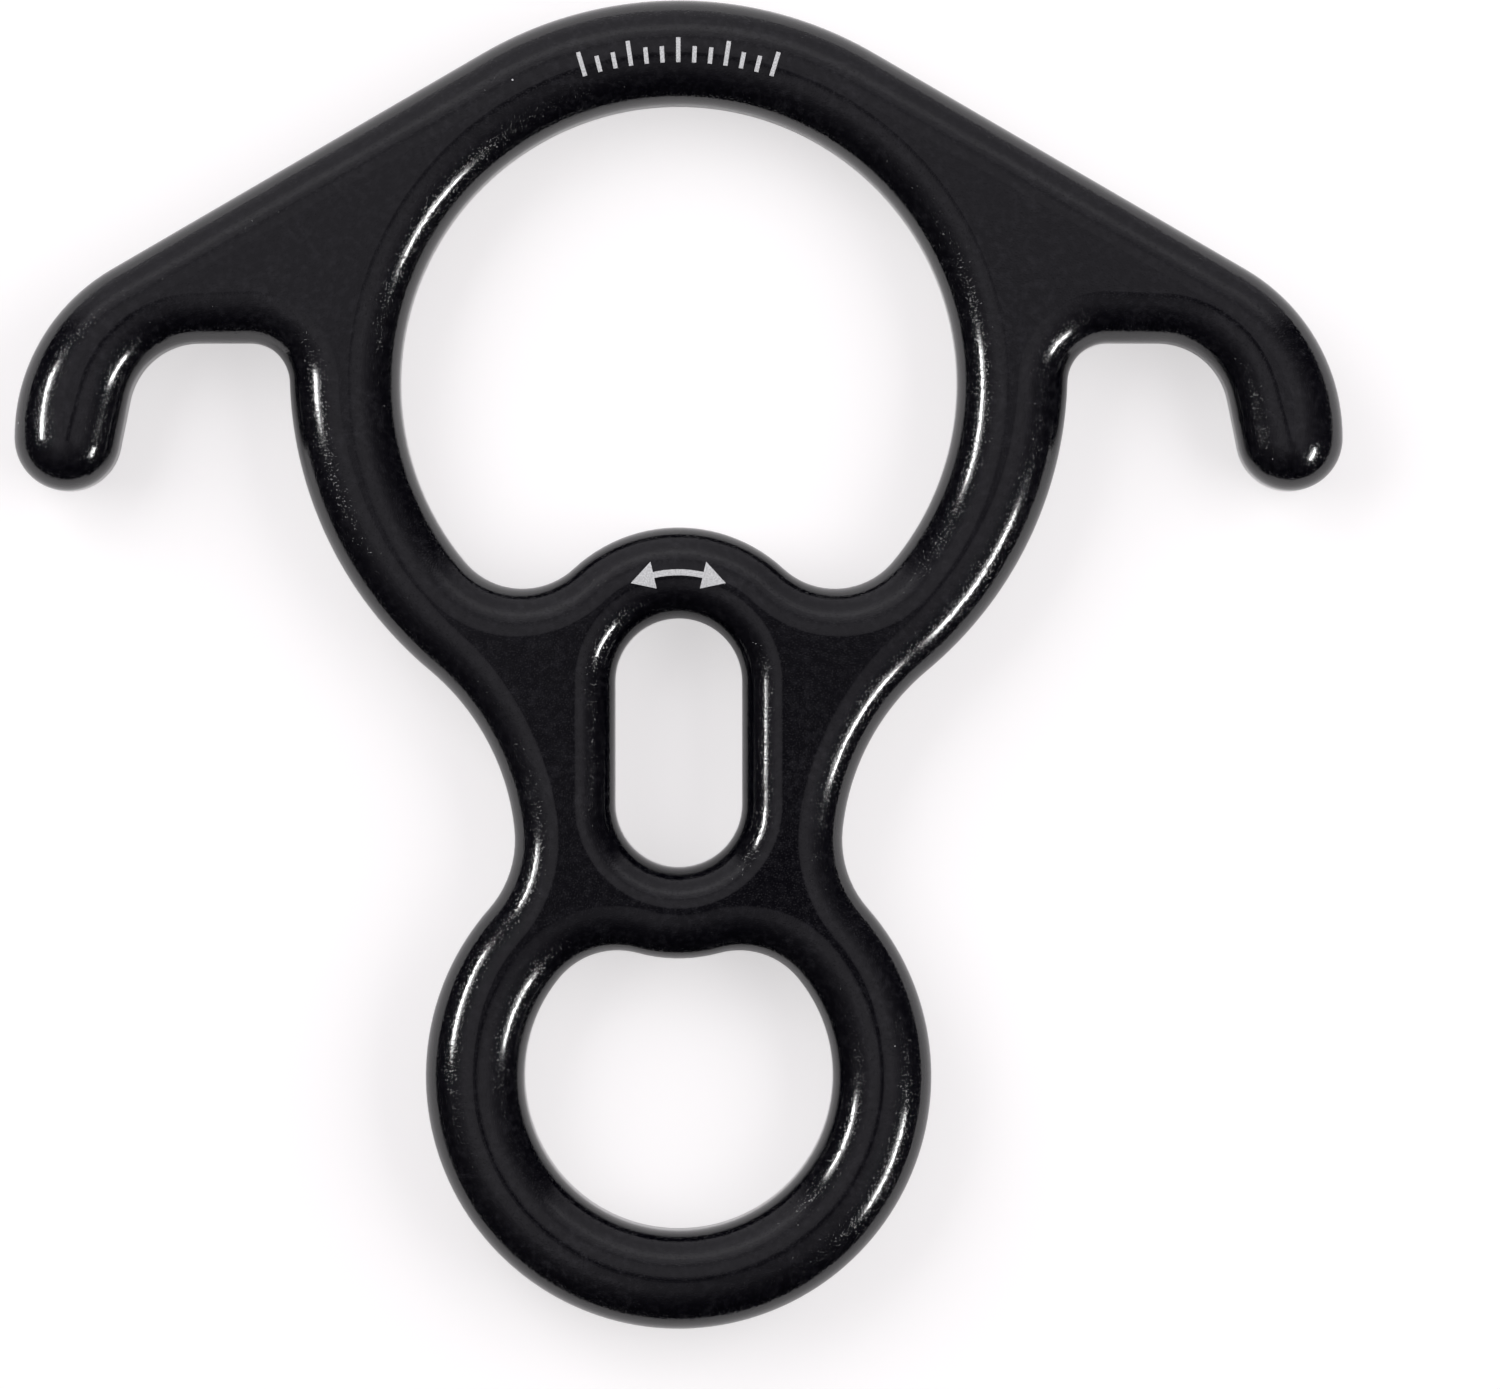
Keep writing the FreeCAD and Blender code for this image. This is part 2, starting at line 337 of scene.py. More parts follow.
def section(bm):
    """The bar's edge as a row of vertices from the lower flat to the upper one, not yet placed."""
    inward = bm.verts.layers.float.new("inward")
    drop = bm.verts.layers.float.new("drop")
    across = bm.verts.layers.float.new("across")
    upper = bm.verts.layers.int.new("upper")
    bm.verts.layers.float_vector.new("course")
    half = [(1 + BORDER_SHARE, 0.0, 0.0)]
    for index in range(ROUND_SEGMENTS + 1):
        angle = index * math.pi / 2 / ROUND_SEGMENTS
        half.append((1 - math.sin(angle), 1 - math.cos(angle), angle))
    rows = [(share, fall, angle, 0) for share, fall, angle in half]
    rows += [(share, fall, -angle, 1) for share, fall, angle in reversed(half)]
    verts = []
    for share, fall, angle, level in rows:
        vert = bm.verts.new((0, 0, 0))
        vert[inward], vert[drop], vert[across], vert[upper] = share, fall, angle, level
        verts.append(vert)
    edges = [bm.edges.new(pair) for pair in zip(verts, verts[1:])]
    return verts, edges


def place(bm, verts, foot_of, belt, face, whole):
    """Puts each vertex where its shares of the round say, from its own foot on the outline.

    The course keeps how far along the outline and round the edge it is, the outline bent to a ring.
    """
    inward = bm.verts.layers.float["inward"]
    drop = bm.verts.layers.float["drop"]
    across = bm.verts.layers.float["across"]
    upper = bm.verts.layers.int["upper"]
    course = bm.verts.layers.float_vector["course"]
    ring = whole / (2 * math.pi)
    for vert in verts:
        foot, into_metal, along = foot_of(vert)
        width, depth = belt.round_at(foot)
        turn = along / ring
        vert[course] = (ring * math.cos(turn), ring * math.sin(turn), vert[across] * width)
        vert.co = foot + into_metal * (vert[inward] * width)
        vert.co.z = face - vert[drop] * depth if vert[upper] else vert[drop] * depth


def row_of(verts):
    """The edges that join the vertices of one section."""
    own = set(verts)
    return list({edge for vert in verts for edge in vert.link_edges
                 if edge.verts[0] in own and edge.verts[1] in own})


def sweep(bm, belt, face):
    """Carries the section once round an outline: spun on each circle, extruded along each straight."""
    circles = belt.circles
    following = circles[1:] + circles[:1]
    runs = [straight_run(item, after) for item, after in zip(circles, following)]
    inward_sign = [-belt.metal * item.turn for item in circles]

    def bearing(item, point):
        return math.atan2(point.y - item.centre.y, point.x - item.centre.x)

    def turned(item, start, point):
        """How far the outline has turned on a circle from a start bearing to a point."""
        return (item.turn * (bearing(item, point) - start)) % (2 * math.pi)

    arrivals = [runs[index - 1][1] for index in range(len(circles))]
    starts = [bearing(item, point) for item, point in zip(circles, arrivals)]
    angles = [turned(item, start, run[0]) for item, start, run in zip(circles, starts, runs)]
    straights = [(run[1] - run[0]).length for run in runs]
    whole = sum(angle * item.radius for angle, item in zip(angles, circles)) + sum(straights)

    def on_circle(index, gone):
        item = circles[index]

        def foot_of(vert):
            out = Vector((vert.co.x - item.centre.x, vert.co.y - item.centre.y, 0)).normalized()
            foot = item.centre + out * item.radius
            angle = turned(item, starts[index], foot)
            if angle > angles[index] + TURN_SLACK:
                angle = 0
            return foot, out * inward_sign[index], gone + angle * item.radius
        return foot_of

    def at_point(index, point, gone):
        out = (point - circles[index].centre).normalized()
        return lambda vert: (point, out * inward_sign[index], gone)

    verts, edges = section(bm)
    place(bm, verts, at_point(0, arrivals[0], 0), belt, face, whole)
    gone = 0
    for index, item in enumerate(circles):
        steps = math.ceil(max(angles[index] / WIDEST_TURN, angles[index] * item.radius / LONGEST_STEP))
        before = len(bm.verts)
        spun = bmesh.ops.spin(bm, geom=verts + edges, cent=item.centre, axis=UP, dvec=(0, 0, 0),
                              angle=item.turn * angles[index], space=Matrix.Identity(4), steps=steps,
                              use_merge=False, use_normal_flip=False, use_duplicate=False)
        bm.verts.ensure_lookup_table()
        place(bm, bm.verts[before:], on_circle(index, gone), belt, face, whole)
        verts = verts_in(spun["geom_last"])
        edges = row_of(verts)
        gone += angles[index] * item.radius
        if straights[index]:
            gone += straights[index]
            after = (index + 1) % len(circles)
            run = bmesh.ops.extrude_edge_only(bm, edges=edges)
            verts = verts_in(run["geom"])
            place(bm, verts, at_point(after, arrivals[after], gone), belt, face, whole)
            edges = row_of(verts)


def forging(mm):
    """The whole body: four swept edges and the two flat faces between them, in millimetres."""
    outer, ring_hole, eye_hole, slot = rounds(mm)
    belts = [
        Belt(outer_circles(mm), 1, outer),
        Belt(bossed_circles(mm, mm.ring_hole_radius, 0, mm.slot_top_y), -1, ring_hole),
        Belt(bossed_circles(mm, mm.eye_hole_radius, mm.eye_y, mm.slot_foot_y), -1, eye_hole),
        Belt(slot_circles(mm), -1, slot),
    ]
    bm = bmesh.new()
    for belt in belts:
        edge = bmesh.new()
        sweep(edge, belt, mm.face)
        carried = bpy.data.meshes.new("swept_edge")
        edge.to_mesh(carried)
        edge.free()
        bm.from_mesh(carried)
        bpy.data.meshes.remove(carried)
    bmesh.ops.remove_doubles(bm, verts=bm.verts, dist=TOUCH_GAP)
    for height in (0, mm.face):
        border = [edge for edge in bm.edges if edge.is_boundary
                  and abs(edge.verts[0].co.z - height) < TOUCH_GAP
                  and abs(edge.verts[1].co.z - height) < TOUCH_GAP]
        bmesh.ops.triangle_fill(bm, edges=border, use_beauty=True, use_dissolve=False)
    bmesh.ops.recalc_face_normals(bm, faces=bm.faces)
    return bm


# Etched marks


def drape(bm, body, lift):
    """Lays flat sheets on the forging from above, a hair over its surface, in metres."""
    mesh = body.data
    tree = BVHTree.FromPolygons([vert.co for vert in mesh.vertices],
                                [face.vertices for face in mesh.polygons])
    for vert in bm.verts:
        above = Vector((vert.co.x, vert.co.y, CAD_BOX[1].z + lift))
        hit = tree.ray_cast(above, -UP)[0]
        if hit is None:
            raise RuntimeError("a mark reaches past the forging's edge")
        vert.co.z = hit.z + lift


def thicken(bm, depth):
    """Turns draped sheets into thin closed solids, downwards."""
    lower = bmesh.ops.extrude_face_region(bm, geom=bm.faces[:], use_keep_orig=True)
    bmesh.ops.translate(bm, vec=(0, 0, -depth), verts=verts_in(lower["geom"]))
    bmesh.ops.recalc_face_normals(bm, faces=bm.faces)


def tick_sheets(mm):
    """The index ticks as flat strips, in plan: each is a unit grid, scaled to its tick."""
    bm = bmesh.new()
    half = mm.tick_count // 2
    foot_y = mm.ring_hole_radius + (mm.crown_wall - mm.long_tick_length) / 2
    for step in range(-half, half + 1):
        length = mm.long_tick_length if step % mm.ticks_per_long == 0 else mm.tick_length
        turn = step * mm.tick_pitch / (mm.ring_hole_radius + mm.crown_wall / 2)
        shape = (Matrix.Rotation(-turn, 4, "Z")
                 @ Matrix.Translation((0, foot_y + length / 2, 0))
                 @ Matrix.Diagonal((mm.tick_width, length, 1, 1)))
        bmesh.ops.create_grid(bm, x_segments=TICK_CELLS[0], y_segments=TICK_CELLS[1],
                              size=1 / 2, matrix=shape)
    return bm


def arrow_sheet(mm):
    """The two-headed arrow as one flat sheet, bent round the top of the slot."""
    bm = bmesh.new()
    centre = Vector((0, mm.slot_top_y, 0))
    radius = mm.slot_radius + mm.boss_wall / 2
    tip = mm.arrow_span / 2 / radius
    neck = (mm.arrow_span / 2 - mm.arrow_head_length) / radius

    def corner(angle, offset):
        return bm.verts.new(centre + Vector((math.sin(angle), math.cos(angle), 0)) * (radius + offset))

    def shaft_side(offset):
        """One long side of the shaft, spun from the left head's neck to the right one's."""
        start = corner(-neck, offset)
        spun = bmesh.ops.spin(bm, geom=[start], cent=centre, axis=UP, dvec=(0, 0, 0),
                              angle=-2 * neck, space=Matrix.Identity(4), steps=SHAFT_STEPS,
                              use_merge=False, use_normal_flip=False, use_duplicate=False)
        return start, verts_in(spun["geom_last"])[0]

    upper = shaft_side(mm.arrow_shaft / 2)
    lower = shaft_side(-mm.arrow_shaft / 2)
    for side, end in ((-1, 0), (1, 1)):
        path = [upper[end], corner(side * neck, mm.arrow_head_width / 2), corner(side * tip, 0),
                corner(side * neck, -mm.arrow_head_width / 2), lower[end]]
        for pair in zip(path, path[1:]):
            bm.edges.new(pair)
    bmesh.ops.triangle_fill(bm, edges=bm.edges[:], use_beauty=True, use_dissolve=False)
    bmesh.ops.subdivide_edges(bm, edges=bm.edges[:], cuts=ARROW_CUTS, use_grid_fill=True)
    bmesh.ops.recalc_face_normals(bm, faces=bm.faces)
    return bm


# Materials

# Each noise: how many to the millimetre, its octaves, and how strong the finer ones are
CLOUDS = (0.12, 4.0, 0.6)
MOTTLES = (1.1, 4.0, 0.7)
WAVES, WAVE_DEPTH = (0.38, 1.5, 0.5), 0.006 * MM
GRAINS, GRAIN_DEPTH = (5.0, 1.0, 0.5), 0.011 * MM
# The streaks' noise is stretched: to the millimetre there are this many along and across the edge
STREAKS, STREAKS_ALONG, STREAKS_ACROSS, STREAK_DEPTH = (1.0, 3.0, 0.6), 0.12, 2.2, 0.008 * MM
# Where in the clouds the coat is rubbed, and where in the mottle it is pale
RUBBED_STOPS = ((0.42, 0), (0.72, 1))
PALE_STOPS = ((0.46, 0), (0.72, 1))
NICKS_PER_MM, NICK_SIZE, NICK_RARITY = 0.26, 0.3, 0.9
# Millimetres from the flat's border to where the grain and the streaks are whole
FULL_FINISH = 0.8
# The grain's share on the flats, and the even grain's share beside its peaks
FLAT_GRAIN = 0.3
EVEN_GRAIN = 0.55
GRAIN_PEAKS = (0.58, 0.82)
# The mottle's least share of the pale shade
PALE_LEAST = 0.4
# Roughness of the coat at its glossiest and dullest, where in the clouds it is so, and what the
# rounds add
COAT_GLOSS, GLOSS_CLOUDS = (0.05, 0.08), (0.3, 0.7)
ROUND_GLOSS = 0.03
COAT_IOR = 1.55
# Spots in the marks, their depth and shade, and the bare metal's roughness there
SPOTS, SPOT_STOPS = (5.0, 2.0, 0.6), ((0.3, 0), (0.65, 1))
SPOT_DEPTH, SPOT_SHADE, ETCHED_ROUGHNESS = 0.01 * MM, 0.6, 0.6
# The floor's faint clouds and their shade, and the plain white that it adds
FLOOR_CLOUDS, FLOOR_CLOUD_SHADE = (0.003, 2.0, 0.5), 0.99
PLAIN_WHITE = (1.0, 0.98, 0.985, 1.0)
# The Mix node's two colour inputs and its colour output, by number: their names aren't unique
MIX_INPUTS, MIX_OUTPUT = (6, 7), 2


class Graph:
    """A material's or the world's nodes, added and joined in short calls."""

    def __init__(self, owner):
        owner.use_nodes = True
        self.tree = owner.node_tree
        self.tree.nodes.clear()

    def add(self, kind, links=None, **values):
        """A node of a kind: values are its settings, or else its inputs by name with _ for spaces."""
        node = self.tree.nodes.new(kind)
        for name, value in values.items():
            if hasattr(node, name):
                setattr(node, name, value)
            else:
                node.inputs[name.replace("_", " ")].default_value = value
        for name, source in (links or {}).items():
            self.tree.links.new(source, node.inputs[name])
        return node

    def place(self):
        """Object coordinates in millimetres."""
        metres = self.add("ShaderNodeTexCoord").outputs["Object"]
        scaled = self.add("ShaderNodeVectorMath", {0: metres}, operation="SCALE", Scale=1 / MM)
        return scaled.outputs[0]

    def math(self, operation, first, second=None, clamp=False):
        """A Math node: each term is a socket or a number."""
        node = self.tree.nodes.new("ShaderNodeMath")
        node.operation = operation
        node.use_clamp = clamp
        for index, term in enumerate((first, second)):
            if isinstance(term, bpy.types.NodeSocket):
                self.tree.links.new(term, node.inputs[index])
            elif term is not None:
                node.inputs[index].default_value = term
        return node.outputs[0]

    def ramp(self, source, stops):
        """A Color Ramp over (position, level) stops."""
        node = self.add("ShaderNodeValToRGB", {"Fac": source})
        elements = node.color_ramp.elements
        while len(elements) < len(stops):
            elements.new(1 / 2)
        for element, (position, level) in zip(elements, stops):
            element.position = position
            element.color = (level, level, level, 1)
        return node.outputs["Color"]

    def noise(self, where, scale, detail, roughness):
        """Perlin noise on given coordinates, about one half."""
        node = self.add("ShaderNodeTexNoise", {"Vector": where}, Scale=scale, Detail=detail,
                        Roughness=roughness)
        return node.outputs["Fac"]

    def about_zero(self, noise):
        """A noise less its mean."""
        return self.math("SUBTRACT", noise, 1 / 2)

    def mix(self, share, first, second):
        """A colour between two: the share is a socket, each colour a socket or a tuple."""
        node = self.tree.nodes.new("ShaderNodeMix")
        node.data_type = "RGBA"
        self.tree.links.new(share, node.inputs["Factor"])
        for index, colour in zip(MIX_INPUTS, (first, second)):
            if isinstance(colour, bpy.types.NodeSocket):
                self.tree.links.new(colour, node.inputs[index])
            else:
                node.inputs[index].default_value = tuple(colour) + (1,)
        return node.outputs[MIX_OUTPUT]

    def bump(self, height, distance, before=None):
        """A Bump node on a height socket, over the normal of another."""
        links = {"Height": height}
        if before:
            links["Normal"] = before
        return self.add("ShaderNodeBump", links, Strength=1.0, Distance=distance).outputs["Normal"]


def coat_material(finish):
    """Black anodised alloy over a tumbled, polished forging: mottle, grain, soft streaks, a few nicks."""
    material = bpy.data.materials.new("black_anodised_alloy")
    g = Graph(material)
    where = g.place()
    course = g.add("ShaderNodeAttribute", attribute_name="course").outputs["Vector"]
    stretched = g.add("ShaderNodeMapping", {"Vector": course}, vector_type="POINT",
                      Scale=(STREAKS_ALONG, STREAKS_ALONG, STREAKS_ACROSS)).outputs["Vector"]
    across = g.add("ShaderNodeSeparateXYZ", {"Vector": course}).outputs["Z"]
    on_round = g.math("DIVIDE", g.math("ABSOLUTE", across), FULL_FINISH, clamp=True)
    streaks = g.math("MULTIPLY", g.about_zero(g.noise(stretched, *STREAKS)), on_round)
    waves = g.noise(where, *WAVES)
    rough = g.math("ADD", g.math("MULTIPLY", on_round, 1 - FLAT_GRAIN), FLAT_GRAIN)
    fine = g.noise(where, *GRAINS)
    peaks = g.add("ShaderNodeMapRange", {"Value": fine}, interpolation_type="SMOOTHSTEP",
                  From_Min=GRAIN_PEAKS[0], From_Max=GRAIN_PEAKS[1]).outputs["Result"]
    grain = g.math("ADD", g.math("MULTIPLY", g.about_zero(fine), EVEN_GRAIN), peaks)
    grain = g.math("MULTIPLY", grain, rough)
    cloud = g.noise(where, *CLOUDS)
    rubbed = g.ramp(cloud, RUBBED_STOPS)
    mottle = g.ramp(g.noise(where, *MOTTLES), PALE_STOPS)
    share = g.math("ADD", g.math("MULTIPLY", rubbed, 1 - PALE_LEAST), PALE_LEAST)
    colour = g.mix(g.math("MULTIPLY", mottle, share), finish.coat, finish.coat_worn)
    specks = g.add("ShaderNodeTexVoronoi", {"Vector": where}, Scale=NICKS_PER_MM)
    chance = g.add("ShaderNodeSeparateXYZ", {"Vector": specks.outputs["Color"]}).outputs["X"]
    reach = g.math("MULTIPLY", g.math("SUBTRACT", chance, NICK_RARITY), NICK_SIZE)
    nick = g.math("LESS_THAN", specks.outputs["Distance"], reach)
    colour = g.mix(nick, colour, finish.metal)
    gloss = g.add("ShaderNodeMapRange", {"Value": cloud}, From_Min=GLOSS_CLOUDS[0], From_Max=GLOSS_CLOUDS[1],
                  To_Min=COAT_GLOSS[0], To_Max=COAT_GLOSS[1]).outputs["Result"]
    gloss = g.math("ADD", gloss, g.math("MULTIPLY", on_round, ROUND_GLOSS))
    slope = g.bump(waves, WAVE_DEPTH)
    slope = g.bump(streaks, STREAK_DEPTH, slope)
    slope = g.bump(grain, GRAIN_DEPTH, slope)
    shader = g.add("ShaderNodeBsdfPrincipled", {"Base Color": colour, "Roughness": gloss,
                                                "Normal": slope}, IOR=COAT_IOR)
    g.add("ShaderNodeOutputMaterial", {"Surface": shader.outputs[0]})
    return material


def etched_material(finish):
    """Pale matt metal where the coat is burnt off, with the fine spots that a laser leaves."""
    material = bpy.data.materials.new("etched_alloy")
    g = Graph(material)
    spots = g.noise(g.place(), *SPOTS)
    dull = [level * SPOT_SHADE for level in finish.etched]
    colour = g.mix(g.ramp(spots, SPOT_STOPS), dull, finish.etched)
    shader = g.add("ShaderNodeBsdfPrincipled", {"Base Color": colour,
                                                "Normal": g.bump(spots, SPOT_DEPTH)},
                   Roughness=ETCHED_ROUGHNESS)
    g.add("ShaderNodeOutputMaterial", {"Surface": shader.outputs[0]})
    return material


def floor_material(finish):
    """Pale studio floor that takes the shadow: the camera and the gloss see it nearly white."""
    material = bpy.data.materials.new("studio_floor")
    g = Graph(material)
    cloud = g.noise(g.place(), *FLOOR_CLOUDS)
    path = g.add("ShaderNodeLightPath").outputs
    looked_at = g.math("MAXIMUM", path["Is Camera Ray"], path["Is Transmission Ray"])
    mirrored = path["Is Glossy Ray"]
    plain, in_gloss, to_camera = [
        g.mix(cloud, [level * FLOOR_CLOUD_SHADE for level in tone], tone)
        for tone in (finish.floor, finish.floor_mirrored, finish.floor_seen)]
    colour = g.mix(looked_at, g.mix(mirrored, plain, in_gloss), to_camera)
    glow = g.math("ADD", g.math("MULTIPLY", looked_at, finish.floor_glow),
                  g.math("MULTIPLY", mirrored, finish.mirrored_glow))
    lit = g.add("ShaderNodeBsdfDiffuse", {"Color": colour})
    white = g.add("ShaderNodeEmission", {"Strength": glow}, Color=PLAIN_WHITE)
    shader = g.add("ShaderNodeAddShader", {0: lit.outputs[0], 1: white.outputs[0]})
    g.add("ShaderNodeOutputMaterial", {"Surface": shader.outputs[0]})
    return material


# Stage: lengths in metres

FLOOR_RADIUS, FLOOR_GAP, FLOOR_SEGMENTS = 2.5, 0.00005, 96
LAMP_DISTANCE = 0.75
CAMERA_X, CAMERA_Y, CAMERA_DISTANCE = 0.00833, -0.0035, 1.0
# How much the camera sees across, at the object's middle
VIEW_WIDTH = 0.17535
NEAREST_SEEN = 0.01
# The camera's sensor, in millimetres
SENSOR_WIDTH = 36.0

# Degrees, as the object sees the lamps: how long and how high each is
STRIP_SIZE = (19.1, 4.2)
VEIL_SIZE = (19.1, 5.5)
SOFT_BOX_SIZE = (55, 40)
# Each strip's side, bearing from east, angle from straight up, and roll
STRIPS = (("left", 168.2, 47.6, -4), ("right", -30.0, 53.8, 11))
# Each soft box's side and bearing, and how far from straight up both are
SOFT_BOXES = (("left", 152), ("right", 4))
SOFT_BOX_ZENITH = 48

# The ceiling's light by the angle from straight up in degrees: a dark patch round the camera,
# a pale ring round that, and less and less below
CEILING = (
    (0, 0.10), (1.8, 0.12), (3.0, 0.22), (4.2, 0.38), (6, 0.44), (10, 0.46), (16, 0.46), (20, 0.44),
    (25, 0.34), (31, 0.24), (38, 0.16), (48, 0.10), (65, 0.05), (90, 0.04), (91, 0.60))
# The back wall's light, by the same angle
BACK_WALL = (
    (22, 0), (30, 0.44), (38, 0.55), (42, 0.78), (48, 0.72), (54, 0.50), (70, 0.43), (90, 0.56))
# Bearings in degrees: the ceiling's dim side, the wall's middle, and where the wall is palest
DIM_SIDE, WALL_SIDE, PALEST_SIDE = 285, 90, 107
# The shares left there, by how nearly a direction has that bearing
DIM_SHARE = ((0.30, 1.0), (0.60, 0.93), (0.75, 0.80), (0.87, 0.66), (0.95, 0.52), (1.0, 0.47))
WALL_SHARE = ((0.60, 0), (0.70, 1))
PALEST_SHARE = ((0.50, 0.78), (0.85, 0.9), (1.0, 1.0))
WALL_STRENGTH = 1.2
# How far south of straight up the dark patch lies, as a slope
PATCH_SHIFT = 0.0175
ROOM_TINTS = (0.95, 0.90, 1.0), (0.98, 0.96, 1.0)
# A level direction's length is never taken as less than this
LEAST_LEVEL = 0.0001


def lay_floor(finish):
    """A round floor, a hair under the lower flat face."""
    bm = bmesh.new()
    bmesh.ops.create_circle(bm, cap_ends=True, cap_tris=False, segments=FLOOR_SEGMENTS,
                            radius=FLOOR_RADIUS)
    bmesh.ops.translate(bm, vec=(0, 0, -FLOOR_GAP), verts=bm.verts)
    mesh = bpy.data.meshes.new("floor")
    bm.to_mesh(mesh)
    bm.free()
    mesh.materials.append(floor_material(finish))
    floor = bpy.data.objects.new("floor", mesh)
    bpy.context.scene.collection.objects.link(floor)


def hang_lamp(name, azimuth, zenith, roll, spread, power):
    """An oblong lamp, turned to the object: all but its power is in degrees, as the object sees it."""
    lamp = bpy.data.lights.new(name, "AREA")
    lamp.shape = "RECTANGLE"
    lamp.size, lamp.size_y = [2 * LAMP_DISTANCE * math.tan(math.radians(side / 2)) for side in spread]
    lamp.energy = power
    stand = bpy.data.objects.new(name, lamp)
    bpy.context.scene.collection.objects.link(stand)
    tilt, turn = math.radians(zenith), math.radians(azimuth)
    towards = Vector((math.sin(tilt) * math.cos(turn), math.sin(tilt) * math.sin(turn), math.cos(tilt)))
    stand.location = towards * LAMP_DISTANCE
    facing = towards.to_track_quat("Z", "Y") @ Quaternion(UP, math.radians(roll))
    stand.rotation_euler = facing.to_euler()
    return stand


def by_degrees(stops):
    """Color Ramp stops over the angle from straight up, given in degrees."""
    return [(angle / 180, level) for angle, level in stops]


def level_length(g, east, north):
    """How long a level direction is, from its two parts."""
    return g.math("SQRT", g.math("ADD", g.math("MULTIPLY", east, east), g.math("MULTIPLY", north, north)))


def dim_room():
    """The room that the black coat mirrors: pale over the object, dark low down, a pale wall behind."""
    world = bpy.data.worlds.new("studio_room")
    bpy.context.scene.world = world
    g = Graph(world)
    way = g.add("ShaderNodeTexCoord").outputs["Generated"]
    x, y, z = g.add("ShaderNodeSeparateXYZ", {"Vector": way}).outputs
    level = g.math("MAXIMUM", level_length(g, x, y), LEAST_LEVEL)

    def share_at(bearing, stops):
        """A share by how nearly a direction has a bearing: 1 along it, -1 away from it."""
        turn = math.radians(bearing)
        reach = g.math("ADD", g.math("MULTIPLY", x, math.cos(turn)), g.math("MULTIPLY", y, math.sin(turn)))
        return g.ramp(g.math("DIVIDE", reach, level), stops)

    off = level_length(g, x, g.math("ADD", y, PATCH_SHIFT))
    zenith = g.math("DIVIDE", g.math("ARCTAN2", off, z), math.pi)
    ceiling = g.math("MULTIPLY", g.ramp(zenith, by_degrees(CEILING)), share_at(DIM_SIDE, DIM_SHARE))
    wall = g.math("MULTIPLY", g.ramp(zenith, by_degrees(BACK_WALL)), share_at(WALL_SIDE, WALL_SHARE))
    wall = g.math("MULTIPLY", wall, share_at(PALEST_SIDE, PALEST_SHARE))
    room = g.math("MAXIMUM", ceiling, g.math("MULTIPLY", wall, WALL_STRENGTH))
    light = g.add("ShaderNodeBackground", {"Color": g.mix(room, *ROOM_TINTS), "Strength": room})
    g.add("ShaderNodeOutputWorld", {"Surface": light.outputs[0]})


def set_camera():
    """Straight above, at the photograph's framing."""
    lens = bpy.data.cameras.new("camera")
    lens.sensor_width = SENSOR_WIDTH
    lens.lens = SENSOR_WIDTH * CAMERA_DISTANCE / VIEW_WIDTH
    lens.clip_start = NEAREST_SEEN
    camera = bpy.data.objects.new("camera", lens)
    bpy.context.scene.collection.objects.link(camera)
    low, high = CAD_BOX
    camera.location = (CAMERA_X, CAMERA_Y, (low.z + high.z) / 2 + CAMERA_DISTANCE)
    bpy.context.scene.camera = camera


# Finished pieces

# A face of three or more corners is known by this many of them
KNOWN_BY = 3


def to_frame(bm, mm):
    """Moves a piece from the plan, in millimetres, to the frame, in metres."""
    bmesh.ops.translate(bm, vec=(0, -mm.middle_y, 0), verts=bm.verts)
    bmesh.ops.scale(bm, vec=(MM, MM, MM), verts=bm.verts)


def settle_order(bm):
    """Sorts edges and faces by their vertices, because the operators give them in no fixed order."""
    bm.verts.index_update()
    count = len(bm.verts)

    def rank(part):
        total = 0
        for index in sorted(vert.index for vert in part.verts)[:KNOWN_BY]:
            total = total * count + index
        return total

    bm.edges.sort(key=rank)
    bm.faces.sort(key=rank)


def finished(bm, name, material, node):
    """Makes a piece's object and lets it stand for its node."""
    settle_order(bm)
    for layers in (bm.verts.layers.float, bm.verts.layers.int):
        for layer in layers.values():
            layers.remove(layer)
    mesh = bpy.data.meshes.new(name)
    bm.to_mesh(mesh)
    bm.free()
    piece = bpy.data.objects.new(name, mesh)
    bpy.context.scene.collection.objects.link(piece)
    mesh.materials.append(material)
    mesh.shade_smooth()
    mesh.set_sharp_from_angle(angle=SHARP_TURN)
    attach(piece, "root")
    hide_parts(node)
    return piece


class DESCENDER_OT_forged_body(bpy.types.Operator):
    """Sweep the black forging round its outline, holes and slot"""

    bl_idname = "descender.forged_body"
    bl_label = "Forged Body"

    def execute(self, context):
        mm = in_mm(context.scene.descender_sizes)
        material = coat_material(context.scene.descender_finish)
        body = forging(mm)
        to_frame(body, mm)
        finished(body, BODY_NAME, material, "forged_body")
        return {"FINISHED"}


class DESCENDER_OT_etched_marks(bpy.types.Operator):
    """Lay the index ticks on the crown and the arrow over the slot"""

    bl_idname = "descender.etched_marks"
    bl_label = "Etched Marks"

    def execute(self, context):
        mm = in_mm(context.scene.descender_sizes)
        material = etched_material(context.scene.descender_finish)
        body = bpy.data.objects.get(BODY_NAME)
        if body is None:
            raise RuntimeError("the marks need the forged body first")
        for name, node, sheet in (("index_ticks", "crown_index_marks", tick_sheets(mm)),
                                  ("slot_arrow", "slot_arrow_mark", arrow_sheet(mm))):
            to_frame(sheet, mm)
            drape(sheet, body, mm.mark_film * MM)
            thicken(sheet, mm.mark_depth * MM)
            finished(sheet, name, material, node)
        return {"FINISHED"}


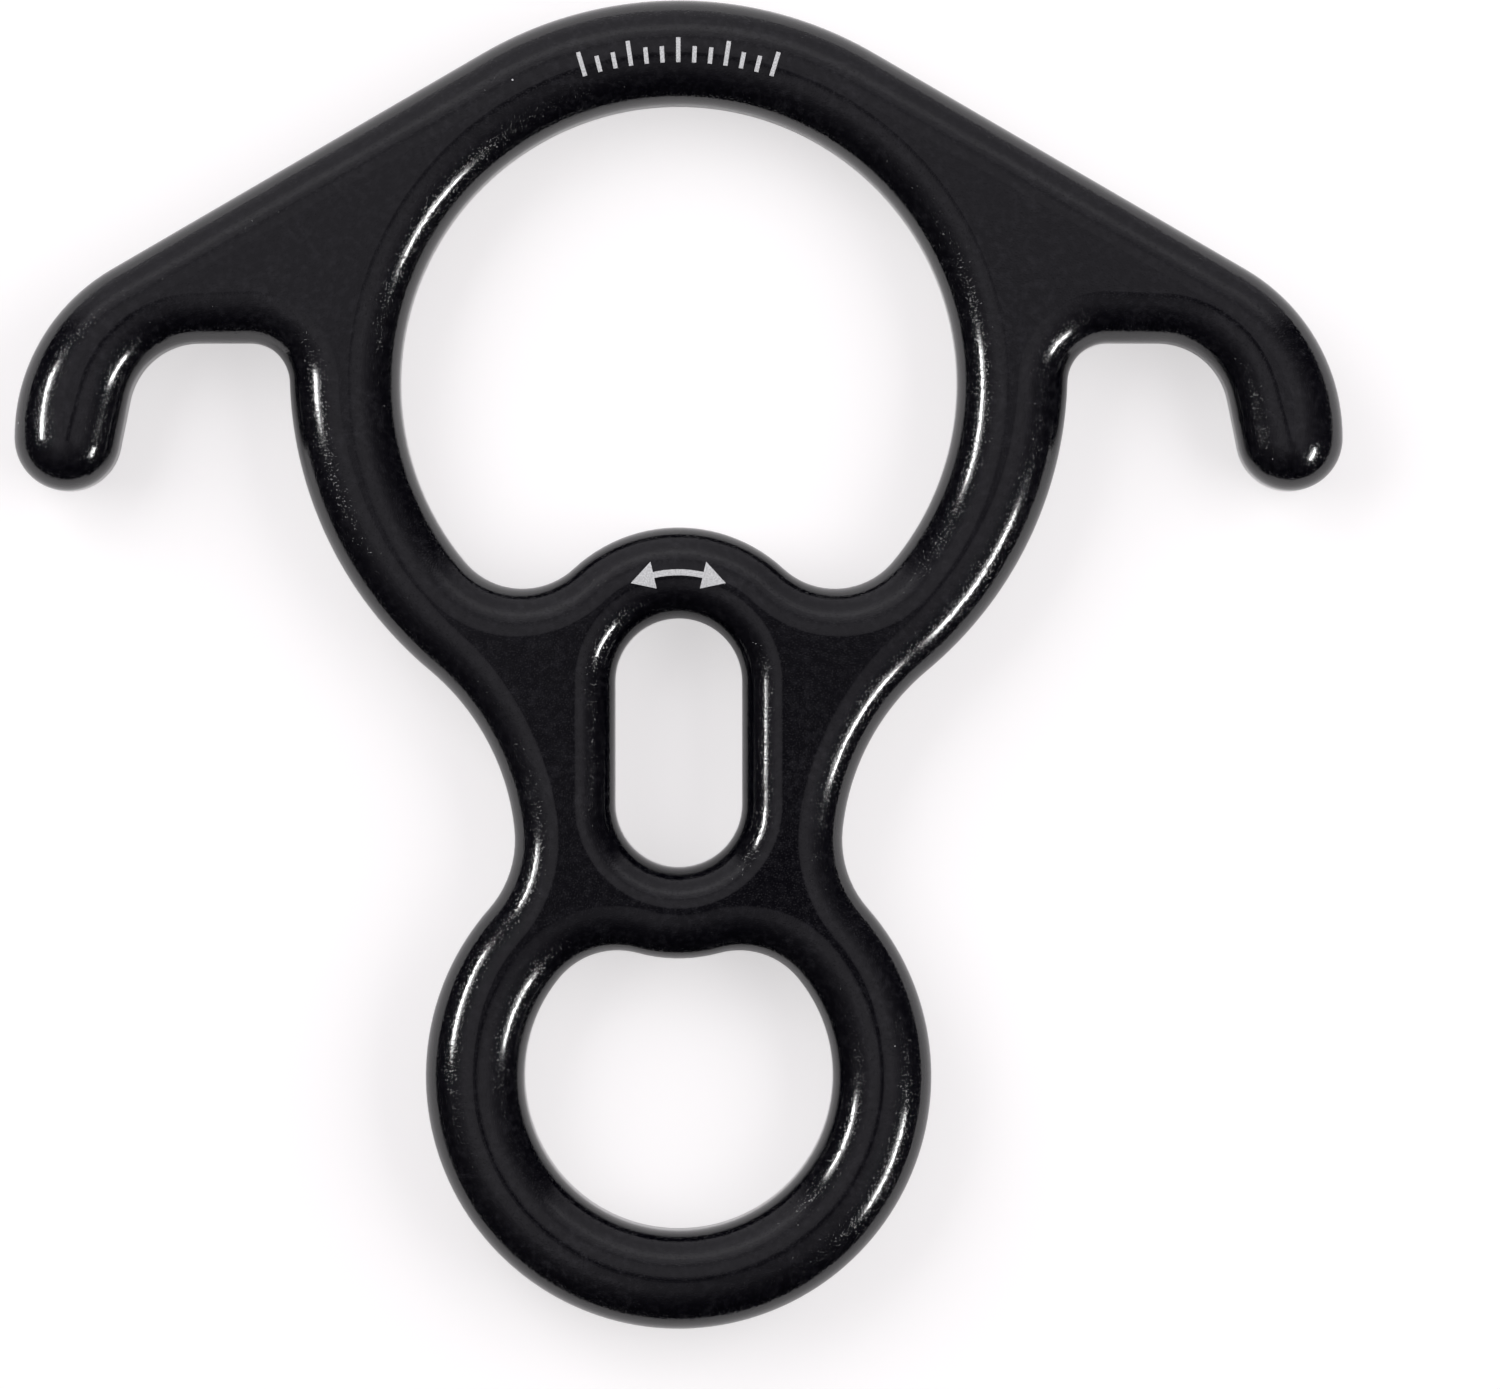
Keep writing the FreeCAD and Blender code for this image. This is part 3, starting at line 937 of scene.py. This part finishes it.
class DESCENDER_OT_studio(bpy.types.Operator):
    """Set the pale floor, the lamps, the dim room and the camera"""

    bl_idname = "descender.studio"
    bl_label = "Studio"

    def execute(self, context):
        finish = context.scene.descender_finish
        lay_floor(finish)
        for side, azimuth, zenith, roll in STRIPS:
            strip = hang_lamp(side + "_strip", azimuth, zenith, roll, STRIP_SIZE, finish.strip_power)
            beside = zenith - (STRIP_SIZE[1] + VEIL_SIZE[1]) / 2
            veil = hang_lamp(side + "_veil", azimuth, beside, roll, VEIL_SIZE, finish.veil_power)
            strip.visible_diffuse = veil.visible_diffuse = False
        for side, azimuth in SOFT_BOXES:
            soft_box = hang_lamp(side + "_soft_box", azimuth, SOFT_BOX_ZENITH, 0, SOFT_BOX_SIZE,
                                 finish.soft_box_power)
            soft_box.visible_glossy = False
        dim_room()
        set_camera()
        context.scene.view_settings.view_transform = "Standard"
        return {"FINISHED"}


class DESCENDER_PT_pieces(bpy.types.Panel):
    """Lists the sizes, finishes and pieces in the sidebar"""

    bl_idname = "DESCENDER_PT_pieces"
    bl_label = "Figure Eight Descender"
    bl_space_type = "VIEW_3D"
    bl_region_type = "UI"
    bl_category = "Descender"

    def draw(self, context):
        layout = self.layout
        for group in (context.scene.descender_sizes, context.scene.descender_finish):
            box = layout.box()
            for name in group.__annotations__:
                box.prop(group, name)
        for operator in OPERATORS:
            layout.operator(operator.bl_idname)


OPERATORS = (DESCENDER_OT_forged_body, DESCENDER_OT_etched_marks, DESCENDER_OT_studio)
CLASSES = (DescenderSizes, DescenderFinish) + OPERATORS + (DESCENDER_PT_pieces,)


def register():
    for item in CLASSES:
        bpy.utils.register_class(item)
    bpy.types.Scene.descender_sizes = PointerProperty(type=DescenderSizes)
    bpy.types.Scene.descender_finish = PointerProperty(type=DescenderFinish)


def unregister():
    del bpy.types.Scene.descender_finish
    del bpy.types.Scene.descender_sizes
    for item in reversed(CLASSES):
        bpy.utils.unregister_class(item)


def main():
    register()
    bpy.ops.descender.forged_body()
    bpy.ops.descender.etched_marks()
    bpy.ops.descender.studio()


if __name__ == "__main__":
    main()
